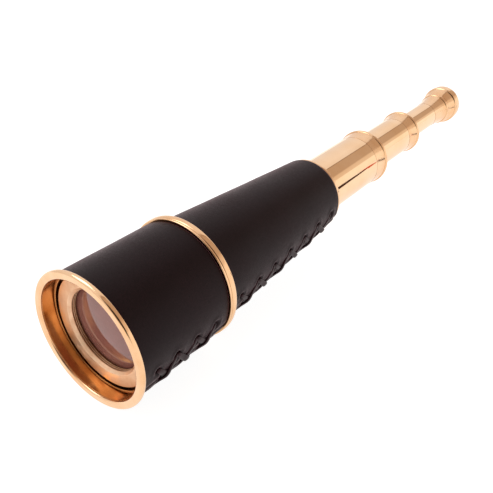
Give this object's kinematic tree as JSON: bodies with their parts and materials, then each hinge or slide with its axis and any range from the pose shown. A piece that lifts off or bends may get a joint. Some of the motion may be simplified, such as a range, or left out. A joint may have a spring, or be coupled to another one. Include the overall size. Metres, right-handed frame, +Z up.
{
  "type": "telescope",
  "caption": "Hand telescope with a laced leather sheath on a tapered barrel, a recessed objective, and nested brass draws that end in a flared eyepiece.",
  "frame": {"origin": "under the middle of the drawn-out length, level with the lowest point of the front rim", "axes": "+Y along the optical axis from the objective to the eyepiece, +Z up, and the laced seam on the +X side"},
  "size_m": [0.06, 0.3194, 0.06],
  "materials": {
    "polished_brass": "polished, lacquered",
    "satin_brass": "fine turned, satin",
    "dark_leather": "smooth dark brown leather, semi-matt",
    "lace_leather": "dark round leather lace",
    "felt": "thin wool felt",
    "glass": "clear, coated",
    "blackened_brass": "matt black inside finish"
  },
  "bodies": {
    "barrel": {"objective_rim": "polished_brass", "front_sleeve": "satin_brass", "front_cover": "dark_leather", "front_lace": "lace_leather", "mid_ring": "polished_brass", "body_tube": "satin_brass", "rear_cover": "dark_leather", "rear_lace": "lace_leather", "body_collar": "polished_brass", "body_felt": "felt", "objective_cell": "satin_brass", "crown_lens": "glass", "flint_lens": "glass", "objective_retainer": "blackened_brass"},
    "draw1": {"draw1_tube": "polished_brass", "draw1_stop": "satin_brass", "draw1_collar": "polished_brass", "draw1_felt": "felt"},
    "draw2": {"draw2_tube": "polished_brass", "draw2_stop": "satin_brass", "draw2_collar": "polished_brass", "draw2_felt": "felt"},
    "draw3": {"draw3_tube": "polished_brass", "draw3_stop": "satin_brass", "eyepiece_bell": "polished_brass", "eye_cap": "polished_brass", "ocular_tube": "blackened_brass", "field_lens": "glass", "eye_lens": "glass", "erector_tube": "blackened_brass", "erector_lenses": "glass", "erector_retainers": "blackened_brass", "erector_stop": "blackened_brass"}
  },
  "joints": [
    {"name": "draw1_slide", "type": "slide", "parent": "barrel", "child": "draw1", "axis": [0, -1, 0], "range_m": [0, 0.0442]},
    {"name": "draw2_slide", "type": "slide", "parent": "draw1", "child": "draw2", "axis": [0, -1, 0], "range_m": [0, 0.0352]},
    {"name": "draw3_slide", "type": "slide", "parent": "draw2", "child": "draw3", "axis": [0, -1, 0], "range_m": [0, 0.0322]}
  ]
}
